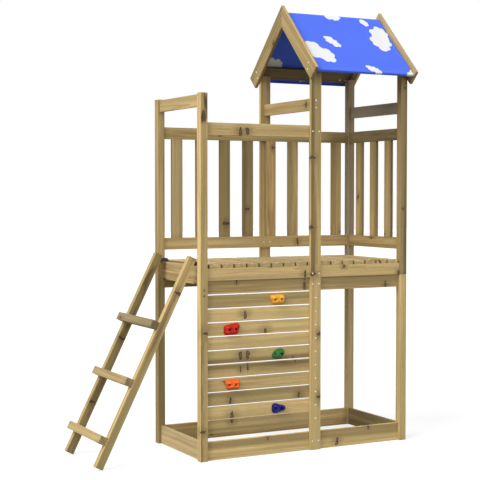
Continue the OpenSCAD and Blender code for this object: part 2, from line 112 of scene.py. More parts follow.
class Finish:  # the nodes of a material or world, written as expressions
    def __init__(self, owner):
        owner.use_nodes = True
        self.owner, self.tree = owner, owner.node_tree
        self.tree.nodes.clear()

    def node(self, kind, settings=None, inputs=None, output=0):
        made = self.tree.nodes.new("ShaderNode" + kind)
        for name, value in (settings or {}).items():
            setattr(made, name, value)
        for key, value in (inputs or {}).items():
            if isinstance(value, Field):
                self.tree.links.new(value.socket, made.inputs[key])
            else:
                made.inputs[key].default_value = value
        if made.outputs:
            return Field(self, made.outputs[output])

    def attribute(self, name):
        return self.node("Attribute", {"attribute_name": name}, output="Vector")

    def objectPlace(self):
        return self.node("TexCoord", output="Object")

    def split(self, vector):
        apart = self.node("SeparateXYZ", inputs={0: vector})
        return apart, apart.output("Y"), apart.output("Z")

    def join(self, x, y, z):
        return self.node("CombineXYZ", inputs={0: x, 1: y, 2: z})

    def vectorMath(self, operation, *values):
        return self.node("VectorMath", {"operation": operation}, dict(enumerate(values)))

    def brighten(self, colour, factor):
        return self.node("VectorMath", {"operation": "SCALE"}, {0: colour, "Scale": factor})

    def noise(self, vector, scale=1.0, detail=2.0, roughness=0.5):
        return self.node("TexNoise", inputs={
            "Vector": vector, "Scale": scale, "Detail": detail, "Roughness": roughness})

    def rise(self, value, low, high):  # 0 below low, 1 above high, smooth between
        return self.node("MapRange", {"interpolation_type": "SMOOTHSTEP"}, {
            "Value": value, "From Min": low, "From Max": high, "To Min": 0.0, "To Max": 1.0})

    def mix(self, share, first, second):
        return self.node("Mix", {"data_type": "RGBA"}, {
            0: share, 6: opaque(first), 7: opaque(second)}, 2)

    def surface(self, colour, look, masks):
        def weigh(shares, start):  # a sum of masks, each times its share
            return sum((masks[name] * share for name, share in shares.items()), start)

        depth, strength = look["bump"]
        bump = self.node("Bump", inputs={
            "Strength": strength, "Distance": depth, "Height": weigh(look["relief"], 0.0)})
        return self.close(self.node("BsdfPrincipled", inputs={
            "Base Color": opaque(colour), "Roughness": weigh(look["rougher"], look["roughness"]),
            "Normal": bump, **look["sockets"]}))

    def close(self, shader, kind="OutputMaterial"):
        self.node(kind, inputs={"Surface": shader})
        return self.owner


def newFinish(name):
    return Finish(bpy.data.materials.new(name))


def opaque(colour):
    return colour if isinstance(colour, Field) or len(colour) == 4 else (*colour, 1.0)


pineLook = {
    "pale": (0.715, 0.525, 0.232),
    "late": (0.450, 0.315, 0.132),  # the dark half of a growth ring
    "brown": (0.350, 0.236, 0.095),
    "olive": (0.450, 0.348, 0.145),
    "smoke": (0.250, 0.176, 0.074),  # darkened wood, also the colour of painted shade in some boards' bands
    "stain": (0.120, 0.076, 0.034),
    "rosy": (0.620, 0.430, 0.205),
    "grey": (0.240, 0.217, 0.172),  # weathered wood; on some boards under the roof, a strong grey hue paints shade
    "knot": (0.105, 0.056, 0.028),
    "knotPale": (0.150, 0.082, 0.040),
    "bark": (0.034, 0.020, 0.012),
    "ring": 0.0034,  # width of a growth ring
    "ringSwirl": 0.020,  # how far slow noise bends the rings
    "ringBulge": 0.0045,  # and how far a knot pushes them aside
    "lateLeast": 0.3,  # strength of the dark half in the palest ring
    "leanYears": (0.26, 0.6),  # how often they come in a ring's width and in a metre along
    "knotsPerLength": 6.0,
    "knotsPerWidth": 17.0,
    "knotSlant": 0.8,  # how far the knots' grid leans into the depth
    "knotScatter": 0.8,
    "knotSmall": 0.0028,
    "knotSpread": 0.0058,
    "noKnot": 0.00002,  # radius where a board has no knot
    "knotRings": 21.0,
    "knotOutline": (75.0, 2.0, 0.45),  # noise that bends it: how often, detail and roughness
    "knotUneven": 2.2,
    "spike": 2.5,  # a placed knot's length across the board to its width
    # shares of an offset along that count for a small knot, its halo, a placed knot and its halo
    "alongShares": (0.8, 0.25, 1.0, 0.3),
    "haloAcross": 0.85,  # and of one across, for a placed knot's halo
    "borderSoft": 0.55,  # of a darkened band, in halves of the board's width
    "borderWander": 1.1,
    "smokeAndShadeShares": (0.6, 0.8),  # a band's least share, and how much more its noise adds
    "soaked": (0.5, 0.9),  # the same for a stain
    "stainRagged": 2.2,
    "rubbedAndLit": 0.08,  # how much lighter the long edges are
    "damp": 0.18,  # how much darker the wood is towards its ends
    "dampReach": 0.040,
    "fibreLight": 0.26,
    # between which values a mark fades in or out: in radii of a knot or halves of a stain,
    "knotFade": (0.85, 1.1),
    "barkFade": (0.5, 0.85),
    "barkEnd": (0.9, 1.15),
    "haloFade": (0.3, 2.5),
    "soakedFade": (0.3, 1.05),
    # in metres from a face,
    "wideFade": (0.0010, 0.0022),
    "sawnFade": (0.0004, 0.0012),
    "rubbedAndLitFade": (0.0007, 0.0045),
    # and in noise
    "rosyFade": (0.5, 0.75),
    "fleckFade": (0.66, 0.74),
    "dampFade": (0.3, 0.7),
    "wornFade": (0.25, 0.6),
    # shares of the colours
    "rosyShare": 0.28,
    "toneRosy": 0.5,
    "toneGrey": 0.6,
    "fleckShare": 0.45,
    "haloShare": 1.2,
    "knotShare": 0.9,
    "roughness": 0.62,
    "rougher": {"streak": 0.18, "knot": -0.15, "sawn": 0.12},
    "relief": {"fibre": 0.55, "late": 0.35, "knot": -0.25, "bark": -0.3},
    "bump": (0.0008, 0.35),  # depth and strength of the relief
    "sockets": {"Specular IOR Level": 0.22},
}
# noise in the grain: how often it changes along, across and deep, then its detail and roughness
pineNoise = {
    "swirl": ((1.3, 8.0, 8.0), 2.0, 0.5),
    "streak": ((1.8, 60.0, 60.0), 3.0, 0.6),
    "broad": ((0.9, 15.0, 15.0), 2.0, 0.5),
    "patch": ((4.0, 16.0, 16.0), 2.0, 0.5),
    "fibre": ((25.0, 950.0, 950.0), 2.0, 0.6),
    "fleck": ((38.0, 420.0, 420.0), 1.0, 0.5),
    "ragged": ((9.0, 70.0, 70.0), 3.0, 0.6),
    "wick": ((5.0, 240.0, 240.0), 2.0, 0.5),
}
# shades over the rings: the noise, where it starts and where it is full, its share and its colour
pineShades = [
    ("lean", 0.44, 0.66, 0.62, "brown"),
    ("streak", 0.43, 0.70, 0.66, "brown"),
    ("broad", 0.42, 0.66, 0.60, "olive"),
]
placedKnots = ("knotOne", "knotTwo", "knotThree", "knotFour")
placedStains = [(name, name + "Reach") for name in ("stainOne", "stainTwo", "stainThree")]


def pineKnots(wood, look, grain, local, clearTone):
    # Distance from the nearest knot, counted in its radii: near follows the knot's outline, and far is
    # drawn out along the grain. Some cells of a grid along and across the board have one knot each.
    along, across, deep = wood.split(grain)
    atAlong, atAcross, _ = wood.split(local)
    alongKnot, alongHalo, alongPlaced, alongPlacedHalo = look["alongShares"]
    wobble = (wood.noise(grain, *look["knotOutline"]) - 0.5) * look["knotUneven"] + 1.0
    lengthwise = along * look["knotsPerLength"]
    sidewise = (across + deep * look["knotSlant"]) * look["knotsPerWidth"]
    cell = wood.node("TexVoronoi", {"voronoi_dimensions": "2D"}, {
        "Vector": wood.join(lengthwise, sidewise, 0.0), "Scale": 1.0, "Randomness": look["knotScatter"]},
        "Position")
    knotAlong, knotAcross, _ = wood.split(cell)
    size, chance, _ = wood.split(cell.output("Color"))
    offAlong = (lengthwise - knotAlong) * (1 / look["knotsPerLength"])
    offAcross = (sidewise - knotAcross) * (1 / look["knotsPerWidth"])
    present = chance.apply("GREATER_THAN", clearTone)
    radius = (size * size * look["knotSpread"] + look["knotSmall"]) * present + look["noKnot"]
    near = offAlong.length(offAcross, alongKnot) * wobble / radius
    far = offAlong.length(offAcross, alongHalo) / radius
    # and the board's own knots, cut lengthwise so that they lie across the board
    for name in placedKnots:
        knotAlong, knotAcross, radius = wood.split(wood.attribute(name))
        offAlong, offAcross = atAlong - knotAlong, (atAcross - knotAcross) * (1 / look["spike"])
        near = near.apply("MINIMUM", offAlong.length(offAcross, alongPlaced) * wobble / radius)
        offAcross = offAcross * look["haloAcross"]
        far = far.apply("MINIMUM", offAlong.length(offAcross, alongPlacedHalo) / radius)
    return near, far


def pineStains(wood, look, colour, local, half, noises, wide):
    # darkened bands along the edges, each with a wandering border: dark wood on most boards, painted shade on
    # some, such as the rim's shadow on the beam
    atAlong, atAcross, _ = wood.split(local)
    _, halfAcross, _ = wood.split(half)
    upperBand, lowerBand, bandFrom = wood.split(wood.attribute("bands"))
    side = atAcross / halfAcross + (noises["broad"] - 0.5) * look["borderWander"]
    band = (wood.rise(side - bandFrom, 0.0, look["borderSoft"]) * upperBand
            + wood.rise(0 - side - bandFrom, 0.0, look["borderSoft"]) * lowerBand)
    least, more = look["smokeAndShadeShares"]
    colour = wood.mix(band * wide * (noises["streak"] * more + least), colour, look["smoke"])
    # the board's own stains: ovals with a ragged border, soaked in along the grain
    least, more = look["soaked"]
    for place, reach in placedStains:
        stainAlong, stainAcross, strength = wood.split(wood.attribute(place))
        halfLength, halfWidth, _ = wood.split(wood.attribute(reach))
        offAlong, offAcross = (atAlong - stainAlong) / halfLength, (atAcross - stainAcross) / halfWidth
        border = offAlong.length(offAcross, 1.0) + (noises["ragged"] - 0.5) * look["stainRagged"]
        soaked = (1 - wood.rise(border, *look["soakedFade"])) * (noises["wick"] * more + least)
        colour = wood.mix(soaked * wide * strength, colour, look["stain"])
    return colour


def treatedPine(look):
    wood = newFinish("treated_pine")
    grain, local, half = (wood.attribute(name) for name in ("grain", "local", "half"))
    along, across, deep = wood.split(grain)
    lightTone, hueTone, clearTone = wood.split(wood.attribute("tone"))
    figure, narrowSideShading, sawnTone = wood.split(wood.attribute("figure"))
    inside = wood.vectorMath("SUBTRACT", half, wood.vectorMath("ABSOLUTE", local))
    endLeft, widthLeft, depthLeft = wood.split(inside)  # distances from the board's own faces
    wide = wood.rise(widthLeft, *look["wideFade"])  # 0 on the narrow sides
    noises = {name: wood.noise(wood.vectorMath("MULTIPLY", grain, often), 1.0, detail, roughness)
              for name, (often, detail, roughness) in pineNoise.items()}
    streak, patch, fibre = (noises[name] for name in ("streak", "patch", "fibre"))

    near, far = pineKnots(wood, look, grain, local, clearTone)
    knot = 1 - wood.rise(near, *look["knotFade"])
    knotRing = (near * look["knotRings"]).apply("SINE") * 0.5 + 0.5
    bark = wood.rise(near, *look["barkFade"]) * (1 - wood.rise(near, *look["barkEnd"]))
    halo = 1 - wood.rise(far, *look["haloFade"])

    # growth rings: distance from the heart of the log, bent by slow noise and round the knots
    heart = across.length(deep, 1.0)
    bent = heart + (noises["swirl"] - 0.5) * look["ringSwirl"] + halo * look["ringBulge"]
    ringPlace = bent * (1 / look["ring"])
    ringDice = wood.node("TexWhiteNoise", {"noise_dimensions": "1D"}, {"W": ringPlace.apply("FLOOR")})
    late = (ringPlace.apply("FRACT") ** 2.0) * (ringDice * (1 - look["lateLeast"]) + look["lateLeast"])
    # lean years: several rings together are darker
    oftenAcross, oftenAlong = look["leanYears"]
    lean = wood.join(ringPlace * oftenAcross, along * oftenAlong, 0.0)
    noises["lean"] = wood.noise(lean, roughness=0.6)

    colour = wood.mix(late, look["pale"], look["late"])
    for name, start, full, share, shade in pineShades:
        colour = wood.mix(wood.rise(noises[name], start, full) * figure * share, colour, look[shade])
    colour = wood.mix(wood.rise(patch, *look["rosyFade"]) * look["rosyShare"], colour, look["rosy"])
    colour = wood.mix(hueTone.apply("MAXIMUM", 0.0) * look["toneRosy"], colour, look["rosy"])
    colour = wood.mix((0 - hueTone).apply("MAXIMUM", 0.0) * look["toneGrey"], colour, look["grey"])
    colour = pineStains(wood, look, colour, local, half, noises, wide)
    fleck = wood.rise(noises["fleck"], *look["fleckFade"])
    colour = wood.mix(fleck * look["fleckShare"], colour, look["smoke"])
    colour = wood.mix(halo * (streak * look["haloShare"]), colour, look["smoke"])
    colour = wood.mix(knot * look["knotShare"], colour, wood.mix(knotRing, look["knot"], look["knotPale"]))
    colour = wood.mix(bark * look["knotShare"], colour, look["bark"])

    # sawn ends have their own shade, wood near them is damp, and long edges are lighter: worn pale, and a
    # painted highlight
    sawn = 1 - wood.rise(endLeft, *look["sawnFade"])
    damp = (1 - wood.rise(endLeft, 0.0, look["dampReach"])) * wood.rise(patch, *look["dampFade"])
    edgeLeft = widthLeft.apply("MAXIMUM", depthLeft)
    rubbedAndLit = (1 - wood.rise(edgeLeft, *look["rubbedAndLitFade"])) * wood.rise(streak, *look["wornFade"])
    light = (1 + lightTone) * (1 - sawn * sawnTone) * (1 - damp * look["damp"])
    # painted light and shade on the narrow sides: darker by the board's edge tone, lighter where it is below
    # zero
    light = light * (1 + rubbedAndLit * look["rubbedAndLit"]) * (1 - (1 - wide) * narrowSideShading)
    colour = wood.brighten(colour, light * fibre.waver(look["fibreLight"]))
    return wood.surface(colour, look, {
        "streak": streak, "fibre": fibre, "late": late, "knot": knot, "bark": bark, "sawn": sawn})


pine = treatedPine(pineLook)
print("pine finished")

timber = {
    "edge": 0.0019,  # rounding of the long edges and of the ends
    "cornerLeast": 0.3,  # share of that rounding which the ends' corners keep
    "cornerPoints": 4,
    "endSteps": 3,
    "lapStep": 1e-5,  # length over which a board goes from full to thinned
}
logs = {  # how lengths were cut from their logs, and how they differ where nothing else is given
    "postDepth": 0.026,  # thicker than this, a length holds the heart of its log
    "heartInPost": 0.011,  # most from the middle, each way
    "heartBeside": 0.022,  # most from the middle of a board's width
    "heartBelow": (0.012, 0.05),  # from the middle of its thickness, either side
    "start": (1, 25),  # place along the log
    "lightSpread": 0.07,
    "hueSpread": 0.3,
    "clear": (0.45, 0.75),
    "bandMean": -0.1,  # below zero there is no band
    "bandSpread": 0.25,
    "bandFrom": 0.1,
    "figure": 1.0,
    "edge": 0.0,
    "sawn": 0.16,
}


def gridFaces(rows, columns, closed=False):
    # quads between the points of a grid, counted row by row; closed joins its last column to its first
    last = columns if closed else columns - 1
    row, column = np.meshgrid(np.arange(rows - 1), np.arange(last), indexing="ij")
    beside = (column + 1) % columns
    return np.stack([row * columns + column, row * columns + beside,
                     (row + 1) * columns + beside, (row + 1) * columns + column], -1).reshape(-1, 4)


def boardParts(low, high, axes, origin=(0, 0, 0), slant=0.0, lap=None):
    # A rectangle with rounded corners carried along the board, drawn in by a quarter circle at the ends.
    # Rows of axes are the directions along, across and deep; low and high are the board's sides in them.
    # slant: the near end is cut by this slope across the board.
    # lap: (from, to, left) of a thinned stretch, where left is the thickness that stays on the low side,
    # or below zero on the high side.
    low, high, axes = np.array(low, float), np.array(high, float), np.array(axes, float)
    edge, steps = timber["edge"], timber["endSteps"]
    turn = np.linspace(0, math.pi / 2, steps)
    ease, drawn = edge * (1 - np.cos(turn)), edge * (1 - np.sin(turn))
    middle, cut = np.zeros((2, 0))
    if lap is not None:
        start, stop, left = lap
        step = timber["lapStep"]
        bends = np.array([(start - step, 0), (start, 1), (stop, 1), (stop + step, 0)])
        middle, cut = bends[(bends[:, 0] > low[0] + edge) & (bends[:, 0] < high[0] - edge)].T
    place = np.concatenate([low[0] + ease, middle, high[0] - ease[::-1]])
    inset = np.concatenate([drawn, middle * 0, drawn[::-1]])
    lean = np.concatenate([-np.cos(turn), middle * 0, np.cos(turn)[::-1]])
    near = np.concatenate([np.ones(steps), middle * 0, np.zeros(steps)])
    sides = np.array([[low[1], high[1], low[2], high[2]]]).repeat(len(place), 0)
    if lap is not None:
        thin = np.concatenate([
            np.full(steps, float(start < low[0])), cut, np.full(steps, float(stop > high[0]))])
        column = 3 if left > 0 else 2
        sides[:, column] += thin * (low[2] + left - high[2] if left > 0 else high[2] + left - low[2])
    radius = np.maximum(edge - inset, edge * timber["cornerLeast"])[:, None]
    sides = sides + inset[:, None] * np.array([1, -1, 1, -1])
    arc = np.linspace(0, math.pi / 2, timber["cornerPoints"])
    angle = (arc[None, :] + np.arange(4)[:, None] * math.pi / 2).ravel()
    onHighV = np.repeat([True, False, False, True], timber["cornerPoints"])
    onHighW = np.repeat([True, True, False, False], timber["cornerPoints"])
    centreV = np.where(onHighV, sides[:, 1:2] - radius, sides[:, 0:1] + radius)
    centreW = np.where(onHighW, sides[:, 3:4] - radius, sides[:, 2:3] + radius)
    v = centreV + radius * np.cos(angle)
    w = centreW + radius * np.sin(angle)
    u = place[:, None] + near[:, None] * slant * (v - low[1])
    local = np.stack([u, v, w], -1).reshape(-1, 3)
    side = np.sqrt(np.maximum(0, 1 - lean ** 2))[:, None]
    normal = np.stack([lean[:, None] + 0 * angle, side * np.cos(angle), side * np.sin(angle)], -1)
    rings, points = u.shape
    caps = [np.arange(points)[::-1], np.arange(points) + (rings - 1) * points]
    faces = gridFaces(rings, points, True).tolist() + [cap.tolist() for cap in caps]
    if np.linalg.det(axes) < 0:
        faces = [face[::-1] for face in faces]
    return {
        "points": np.array(origin) + local @ axes,
        "normals": normal.reshape(-1, 3) @ axes,
        "faces": faces,
        "local": local - (low + high) / 2,
        "half": (high - low) / 2,
    }


def addGrain(part, board):
    # where the board was cut from its log, its shade, and its own knots and stains
    across, below = logs["heartBeside"], logs["heartBelow"]
    if part["half"][2] * 2 > logs["postDepth"]:
        heart = dice.uniform(-logs["heartInPost"], logs["heartInPost"], 2)
    else:
        heart = dice.uniform(-across, across), dice.choice([-1, 1]) * dice.uniform(*below)
    start = np.array([dice.uniform(*logs["start"]), *heart])
    light, hue = dice.normal(0, logs["lightSpread"]), dice.normal(0, logs["hueSpread"])
    drawn = light, hue, dice.uniform(*logs["clear"])
    bands = np.maximum(dice.normal(logs["bandMean"], logs["bandSpread"], 2), 0)
    whole = {
        "tone": [board.get(key, value) for key, value in zip(("light", "hue", "clear"), drawn)],
        "figure": [board.get(key, logs[key]) for key in ("figure", "edge", "sawn")],
        "bands": board.get("bands", (*bands, logs["bandFrom"])),
    }
    knots = [*board.get("knots", []), *[(0, 0, pineLook["noKnot"])] * len(placedKnots)]
    whole.update(zip(placedKnots, knots))
    stains = [*board.get("stains", []), *[(0, 0, 0, 1, 1)] * len(placedStains)]  # the rest have no strength
    for (place, reach), stain in zip(placedStains, stains):
        whole[place], whole[reach] = stain[:3], (*stain[3:], 0)
    whole["half"] = part["half"]
    part["grain"] = part["local"] + start
    for key, value in whole.items():
        part[key] = np.repeat(np.array([value], float), len(part["points"]), 0)
    return part


def finishPiece(name, mesh, material, body, slot, *nodes):
    piece = bpy.data.objects.new(name, mesh)
    scene.collection.objects.link(piece)
    mesh.materials.append(material)
    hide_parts(*nodes)
    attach(piece, body)
    return piece


def fillMesh(name, points, faces, vectors, normals=None):
    mesh = bpy.data.meshes.new(name)
    mesh.from_pydata(points.tolist(), [], faces)
    for key, values in vectors.items():
        layer = mesh.attributes.new(key, "FLOAT_VECTOR", "POINT")
        layer.data.foreach_set("vector", np.ascontiguousarray(values, dtype=np.float32).ravel())
    mesh.polygons.foreach_set("use_smooth", np.ones(len(mesh.polygons), bool))
    mesh.update()
    if normals is not None:
        mesh.normals_split_custom_set_from_vertices(normals.tolist())
    return mesh


def timberPiece(node, parts, body="frame"):
    given = boards.get(node, {})
    given = given if isinstance(given, list) else [given] * len(parts)
    parts = [addGrain(part, board) for part, board in zip(parts, given)]
    starts = np.cumsum([0] + [len(p["points"]) for p in parts])
    faces = [[corner + start for corner in face] for p, start in zip(parts, starts) for face in p["faces"]]
    whole = {key: np.concatenate([p[key] for p in parts]) for key in parts[0] if key != "faces"}
    points, normals = whole.pop("points"), whole.pop("normals")
    mesh = fillMesh("pine_" + node, points, faces, whole, normals)
    finishPiece("pine_" + node, mesh, pine, body, "pine", node)


def straightBoard(low, high, lap=None):
    # along the longest side, deep along the shortest
    low, high = np.array(low), np.array(high)
    order = np.argsort(-np.round(high - low, 4), kind="stable")
    return boardParts(low[order], high[order], np.eye(3)[order], lap=lap)


# Shade and marks of single boards. light and hue: lighter or darker, rosier or greyer; on the boards so noted
# below,
# this is painted light or shade. clear: share without small knots. figure: strength of the streaks.
# edge: painted shade on the narrow sides, and painted light there below zero. sawn: how dark the ends are.
# bands: darkened upper and lower side, and where they start; dark wood on most boards, painted shade on some.
# knots: place along and across, half the width. stains: place along and across, strength, half the length and
# half the width.
wallMarks = [  # from the top plank down
    dict(light=-0.10, hue=0.0, figure=1.2, bands=(0.1, 0, 0.2), knots=[(0.103, -0.014, 0.003)]),
    dict(light=0.40, hue=0.2, bands=(0, 0.1, 0.4), knots=[(-0.094, -0.001, 0.0072)]),
    dict(light=0.25, hue=0.2, bands=(0, 0, 0.4), knots=[(0.010, -0.024, 0.0075)]),
    dict(light=0.20, hue=0.2, bands=(0, 0.1, 0.4)),
    dict(
        light=0.18, hue=0.0, figure=1.3, bands=(0, 1.0, -0.15),
        knots=[(-0.118, 0.002, 0.0075), (-0.081, 0.004, 0.0075), (0.155, -0.022, 0.0028)],
        stains=[(-0.099, 0.0, 0.35, 0.034, 0.026)]),
    dict(
        light=0.17, hue=0.1, clear=1.0, figure=1.3, bands=(1.0, 0, -0.1),
        knots=[(-0.118, 0.006, 0.0045), (-0.081, 0.014, 0.0048), (0.165, 0.020, 0.0028)],
        stains=[(0.12, 0.012, 0.3, 0.20, 0.03)]),
    dict(light=-0.05, hue=0.1, bands=(0, 0, 0)),
    dict(
        light=-0.03, hue=0.0, figure=1.2, bands=(0.5, 0, 0.0),
        knots=[(-0.170, -0.010, 0.005), (0.186, -0.012, 0.0055)],
        stains=[(0.19, -0.01, 0.35, 0.05, 0.03)]),
    dict(light=0.30, hue=0.1, bands=(0, 0.25, 0.2), knots=[(-0.162, -0.022, 0.0078)]),
    dict(light=-0.20, hue=0.0, bands=(0.1, 0, 0.2), knots=[(-0.162, 0.022, 0.0055)]),
]
# edge on the slats: painted shade on their narrow sides
slatMarks = [  # from the left
    dict(light=0.10, hue=-0.3, bands=(0.3, 0, 0.2)),
    dict(light=-0.18, hue=-0.2),
    dict(light=-0.33, hue=0.1, edge=0.45, figure=1.4, bands=(0.3, 0.3, 0.3), knots=[(-0.17, 0.004, 0.006)]),
    dict(
        light=-0.30, hue=-0.2, edge=0.45, figure=1.5, bands=(0.2, 0.6, 0.0),
        knots=[(-0.10, -0.004, 0.005)]),
    dict(
        light=0.04, hue=0.0, figure=1.2,
        knots=[(0.205, 0.014, 0.005)],
        stains=[(-0.17, 0.0, 0.40, 0.09, 0.03)]),
    dict(light=-0.10, hue=-0.2, figure=1.2, bands=(0, 0.5, 0.2)),
    dict(light=-0.15, hue=0.0),
    dict(light=-0.15, hue=0.0),
]
boards = {
    # edge below zero: painted light on the post's narrow sides
    "front_left_post": dict(
        light=-0.05, hue=0.1, clear=0.95, figure=1.2, edge=-0.40, bands=(0, 0.15, 0.2),
        knots=[(-0.246, 0.010, 0.006), (-0.686, -0.004, 0.005), (-0.055, 0.0, 0.0018),
               (-0.079, 0.0, 0.0018)],
        stains=[(-0.50, -0.017, 0.50, 0.46, 0.018), (0.766, 0.017, 1.4, 0.080, 0.020),
                (0.716, -0.006, 1.3, 0.036, 0.020)]),
    "front_middle_lower_board": dict(
        light=0.15, hue=0.1, clear=0.95, bands=(0, 0.1, 0.3),
        knots=[(-0.169, 0.022, 0.0065), (0.124, 0.019, 0.0065), (0.405, -0.024, 0.008)]),
    "front_middle_upper_board": dict(
        light=-0.03, hue=0.0, clear=0.95, figure=1.3, bands=(0, 0.9, -0.05),
        knots=[(0.055, -0.018, 0.006), (-0.270, -0.028, 0.006)],
        stains=[(0.10, -0.020, 0.40, 0.40, 0.016)]),
    "front_right_lower_post": dict(light=0.07, hue=0.0, clear=0.95, bands=(0, 0, 0)),
    # painted shade under the roof: this post is darkened by its light and its band
    "front_right_upper_post": dict(
        light=-0.33, hue=0.0, clear=0.95, figure=1.2, bands=(0.8, 0, -0.1),
        knots=[(0.410, 0.006, 0.0025), (-0.170, -0.004, 0.002)]),
    "front_rim": dict(
        light=0.06, hue=0.0, clear=0.95, figure=0.6, bands=(0, 0, 0),
        knots=[(-0.012, -0.014, 0.0055), (0.200, 0.020, 0.004), (0.508, -0.018, 0.004)],
        stains=[(-0.010, -0.024, 0.9, 0.013, 0.030)]),
    # painted shadow: the rim above darkens the beam, most near its top, through its light and bands
    "front_beam": dict(
        light=-0.07, hue=0.0, clear=0.95, figure=1.3, bands=(0.30, 0, -0.9),
        knots=[(-0.012, 0.000, 0.004), (-0.365, 0.019, 0.0026), (0.440, -0.019, 0.005)],
        stains=[(-0.010, 0.0, 0.85, 0.013, 0.040)]),
    "front_guard_rail": dict(
        light=0.03, hue=0.1, clear=0.95, figure=0.8, bands=(0, 0, 0),
        knots=[(-0.118, -0.010, 0.0075), (-0.082, -0.008, 0.0070)],
        stains=[(-0.100, -0.010, 0.3, 0.034, 0.026)]),
    "front_sand_board": dict(
        light=0.32, hue=0.1, clear=0.9, figure=1.4, bands=(0.8, 0, -0.1),
        knots=[(0.170, -0.012, 0.0062), (0.345, 0.036, 0.006), (-0.205, 0.032, 0.004)]),
    "back_left_post": dict(light=-0.20, hue=0.0, clear=1.0, figure=1.3),
    # painted light: this post, in the deck's shade, is made lighter
    "back_right_lower_post": dict(light=0.42, clear=1.0),
    # painted shade under the canopy: this post is darker and greyer
    "back_right_upper_post": dict(light=-0.15, hue=-0.9, clear=0.95),
    "back_middle_board": dict(light=-0.05, hue=0.0, clear=0.95, figure=1.3, bands=(0.3, 0.4, 0.2)),
    "back_top_rail": dict(
        light=0.05, hue=-0.1, figure=1.3, bands=(0, 0.5, 0.1),
        stains=[(0.47, 0.0, 0.55, 0.14, 0.06)]),
    "roof_left_bar": dict(light=-0.10, hue=0.0, clear=1.0, figure=1.2, knots=[(-0.17, 0.0, 0.006)]),
    "entrance_bar": dict(light=0.10, hue=-0.1),
    # painted shade under the canopy: the bar's strong grey hue
    "roof_right_bar": dict(light=0.18, hue=-1.4, clear=1.0, figure=1.2),
    "left_front_rafter": dict(light=-0.08, clear=0.95, figure=1.4, bands=(0.15, 0.35, 0.2)),
    "left_back_rafter": dict(light=-0.32, clear=0.95, figure=1.4, bands=(0.2, 0.4, 0.2)),
    # painted shade under the canopy: both eave boards are darkened, the back one also greyed
    "front_eave_board": dict(light=-0.40),
    "back_eave_board": dict(light=-0.60, hue=-0.4, clear=0.95),
    "back_bottom_rail": dict(light=0.04, hue=-0.3, figure=1.3, knots=[(0.217, -0.004, 0.005)]),
    "right_bottom_rail": dict(light=-0.30, hue=0.1, figure=1.3),
    # painted shade: the rail is darkened for the shade on its inner face
    "right_top_rail": dict(light=-0.55, hue=-0.3, figure=1.4),
    # painted shade: darkened for the shade inside the sandpit
    "right_sand_board": dict(light=-0.35, hue=-0.2, clear=1.0, figure=1.3, bands=(0, 0.8, 0.0)),
    # painted light: lightened where it lies in the sandpit's shade
    "back_sand_board": dict(light=0.25, hue=0.1, figure=1.3, bands=(0, 0.3, 0.0)),
    "left_sand_board": dict(light=0.28, hue=-0.4, clear=1.0),
    "left_rim": dict(light=-0.08, hue=0.0, figure=1.4),
    # edge below zero: painted light on the narrow sides of both rails
    "ladder_back_rail": dict(
        light=-0.32, hue=0.1, clear=0.97, figure=1.5, edge=-0.35,
        knots=[(0.07, 0.0, 0.006), (-0.25, 0.0, 0.005)],
        stains=[(-0.20, 0.0, 0.6, 0.12, 0.014), (0.16, 0.002, 0.6, 0.09, 0.012),
                (0.36, 0.0, 0.7, 0.11, 0.016)]),
    "ladder_front_rail": dict(
        light=-0.12, hue=0.0, clear=0.97, figure=1.4, edge=-0.25,
        knots=[(0.33, 0.004, 0.006)],
        stains=[(0.18, -0.004, 0.45, 0.20, 0.014)]),
    # edge: painted shade on the planks' narrow sides, in the gaps
    "deck_planks": dict(light=0.02, hue=-0.15, sawn=-0.15, edge=0.5),
    "ladder_treads": [
        dict(light=-0.05, hue=0.1, clear=0.9), dict(light=-0.18, hue=-0.1, figure=1.3),
        dict(light=-0.34, hue=-0.5, figure=1.3)],
    "back_slats": [dict({"clear": 0.95, "edge": 0.4}, **marks) for marks in slatMarks],
    # painted shade: the right slats are darkened, most on their narrow front sides and front edges
    "right_slats": [
        dict(light=light, hue=0.0, edge=0.35, bands=(0, 0.3, 0.2)) for light in (-0.24, -0.27, -0.09)],
    **{"wall_plank_%d" % place: dict({"clear": 0.95}, **marks) for place, marks in enumerate(wallMarks, 1)},
}

sides = ("front", "back", "left", "right")
straightNodes = [
    *[side + post for post in ("_left_post", "_right_lower_post", "_right_upper_post") for side in sides[:2]],
    *[side + "_sand_board" for side in sides], "front_beam", "back_beam", *[side + "_rim" for side in sides],
    *["wall_plank_%d" % place for place in range(1, len(wallMarks) + 1)],
    "front_guard_rail", "back_top_rail", "back_bottom_rail", "right_top_rail", "right_bottom_rail",
    "entrance_bar", "roof_left_bar", "roof_right_bar", "ridge_board",
]
for node in straightNodes:
    timberPiece(node, [straightBoard(*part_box(node))])
print("straight boards:", len(straightNodes))

# 1: the low side of the thickness stays, -1: the high side
middleBoards = {"front_middle_lower_board": 1, "front_middle_upper_board": 1, "back_middle_board": -1}
lapLeft = 0.007  # thickness left where a middle board laps over the rim and the deck
lapFrom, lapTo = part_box("front_rim")[0].z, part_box("deck_planks")[1].z
for node, side in middleBoards.items():
    timberPiece(node, [straightBoard(*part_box(node), (lapFrom, lapTo, side * lapLeft))])
print("middle boards:", len(middleBoards))

rowsOfBoards = {  # how many, the gap between two, and the axis that the row follows
    "deck_planks": (16, 0.0065, 0),
    "back_slats": (8, 0.072, 0),
    "right_slats": (3, 0.072, 1),
}
for node, (count, gap, axis) in rowsOfBoards.items():
    low, high = (np.array(corner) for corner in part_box(node))
    width = (high[axis] - low[axis] + gap) / count - gap
    parts = []
    for i in range(count):
        first, last = low.copy(), high.copy()
        first[axis] = low[axis] + (width + gap) * i
        last[axis] = first[axis] + width
        parts.append(straightBoard(first, last))
    timberPiece(node, parts)
print("rows of boards:", len(rowsOfBoards))

